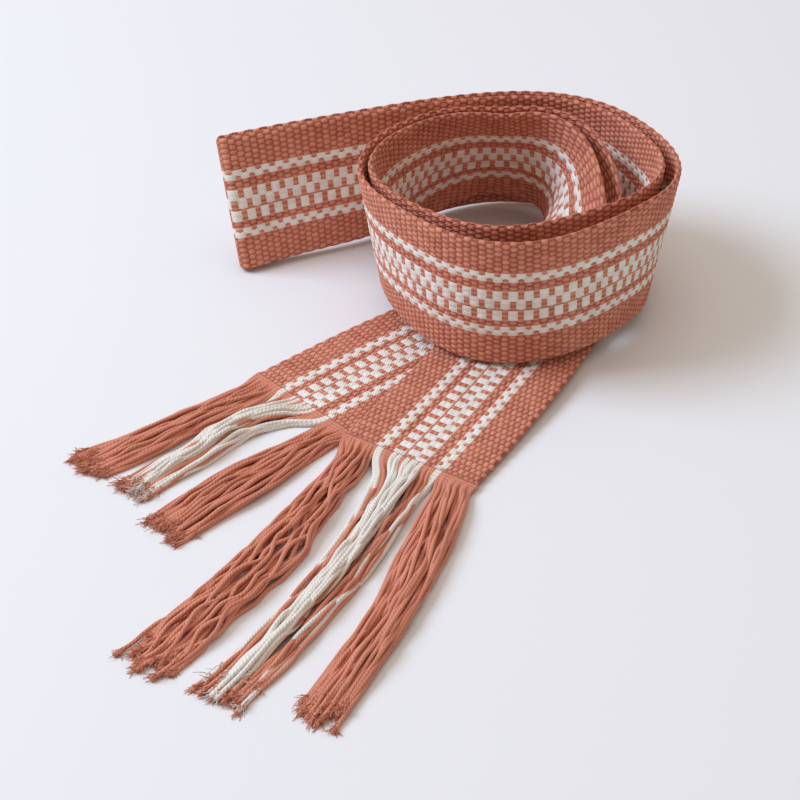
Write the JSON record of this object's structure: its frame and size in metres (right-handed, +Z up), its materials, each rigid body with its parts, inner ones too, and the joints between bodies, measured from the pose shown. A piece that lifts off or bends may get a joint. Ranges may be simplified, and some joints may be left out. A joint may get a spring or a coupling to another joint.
{
  "type": "handwoven sash",
  "caption": "Handwoven warp-faced cotton sash, folded in half and coiled on edge, with two flat tails and a loose fringe at both ends.",
  "frame": {"origin": "centre of the bounding box at table height, where the sash rests", "axes": "+Z up from the table; +Y towards the coil, away from the fringe; +X to the right of the coil, with the fold at the left"},
  "size_m": [0.2077, 0.3012, 0.0582],
  "materials": {
    "terracotta_cotton": "matte plied cotton yarn",
    "cream_cotton": "matte plied cotton yarn",
    "checked_cotton": "matte cotton, terracotta and cream in checks",
    "weft_cotton": "matte cotton yarn"
  },
  "bodies": {
    "band": {"border_stripe_lower": "terracotta_cotton", "wavy_line_lower": "cream_cotton", "ground_stripe_lower": "terracotta_cotton", "check_row_lower": "checked_cotton", "check_row_middle": "checked_cotton", "check_row_upper": "checked_cotton", "ground_stripe_upper": "terracotta_cotton", "wavy_line_upper": "cream_cotton", "border_stripe_upper": "terracotta_cotton", "weft": "weft_cotton"},
    "fringe_a_lower_bundle": {"fringe_a_border_lower": "terracotta_cotton"},
    "fringe_a_middle_bundle": {"fringe_a_line_lower": "cream_cotton", "fringe_a_ground_lower": "terracotta_cotton", "fringe_a_check": "checked_cotton", "fringe_a_ground_upper": "terracotta_cotton", "fringe_a_line_upper": "cream_cotton"},
    "fringe_a_upper_bundle": {"fringe_a_border_upper": "terracotta_cotton"},
    "fringe_b_lower_bundle": {"fringe_b_border_lower": "terracotta_cotton"},
    "fringe_b_middle_bundle": {"fringe_b_line_lower": "cream_cotton", "fringe_b_ground_lower": "terracotta_cotton", "fringe_b_check": "checked_cotton", "fringe_b_ground_upper": "terracotta_cotton", "fringe_b_line_upper": "cream_cotton"},
    "fringe_b_upper_bundle": {"fringe_b_border_upper": "terracotta_cotton"}
  },
  "joints": [
    {"name": "fringe_a_lower_lift", "type": "hinge", "parent": "band", "child": "fringe_a_lower_bundle", "pos_m": [-0.03899, 0.02588, 0.00265], "axis": [-0.6812, 0.7321, 0], "range_deg": [0, 75]},
    {"name": "fringe_a_middle_lift", "type": "hinge", "parent": "band", "child": "fringe_a_middle_bundle", "pos_m": [-0.027, 0.013, 0.00265], "axis": [-0.6812, 0.7321, 0], "range_deg": [0, 75]},
    {"name": "fringe_a_upper_lift", "type": "hinge", "parent": "band", "child": "fringe_a_upper_bundle", "pos_m": [-0.01501, 0.00012, 0.00265], "axis": [-0.6812, 0.7321, 0], "range_deg": [0, 75]},
    {"name": "fringe_b_lower_lift", "type": "hinge", "parent": "band", "child": "fringe_b_lower_bundle", "pos_m": [-0.00715, -0.0121, 0.00548], "axis": [-0.862, 0.507, 0], "range_deg": [0, 75]},
    {"name": "fringe_b_middle_lift", "type": "hinge", "parent": "band", "child": "fringe_b_middle_bundle", "pos_m": [0.008, -0.021, 0.00449], "axis": [-0.862, 0.507, 0], "range_deg": [0, 75]},
    {"name": "fringe_b_upper_lift", "type": "hinge", "parent": "band", "child": "fringe_b_upper_bundle", "pos_m": [0.02315, -0.0299, 0.00351], "axis": [-0.862, 0.507, 0], "range_deg": [0, 75]}
  ]
}
